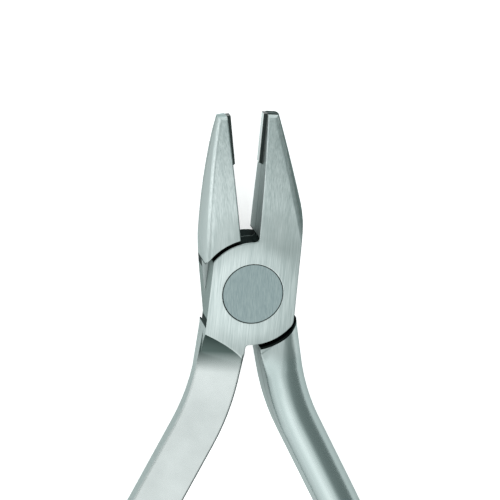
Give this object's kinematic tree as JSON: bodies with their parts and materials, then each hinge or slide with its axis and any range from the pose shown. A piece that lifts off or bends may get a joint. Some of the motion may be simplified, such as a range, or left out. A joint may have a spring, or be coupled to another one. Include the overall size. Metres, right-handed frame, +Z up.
{
  "type": "orthodontic pliers",
  "caption": "Slim steel pliers with tapered flat jaws, thin carbide gripping strips at the tips, a riveted lap joint and long bowed handles.",
  "frame": {"origin": "where the rivet's axis meets the surface the pliers lie on", "axes": "+Y from the rivet towards the jaws, along the line midway between the open halves; +Z up through the rivet; +X towards the right jaw"},
  "size_m": [0.0543, 0.1286, 0.007],
  "materials": {
    "ground_steel": "fine ground satin",
    "rivet_steel": "ground flush",
    "carbide": "ground dark grey",
    "silver_braze": "dull silver"
  },
  "bodies": {
    "back": {"back_half": "ground_steel", "pivot_rivet": "rivet_steel", "left_insert": "carbide", "left_braze": "silver_braze"},
    "front": {"front_half": "ground_steel", "right_insert": "carbide", "right_braze": "silver_braze"}
  },
  "joints": [
    {"name": "pivot", "type": "hinge", "parent": "back", "child": "front", "pos_m": [0, 0, 0.0035], "axis": [0, 0, 1], "range_deg": [-55, 10.5]}
  ]
}
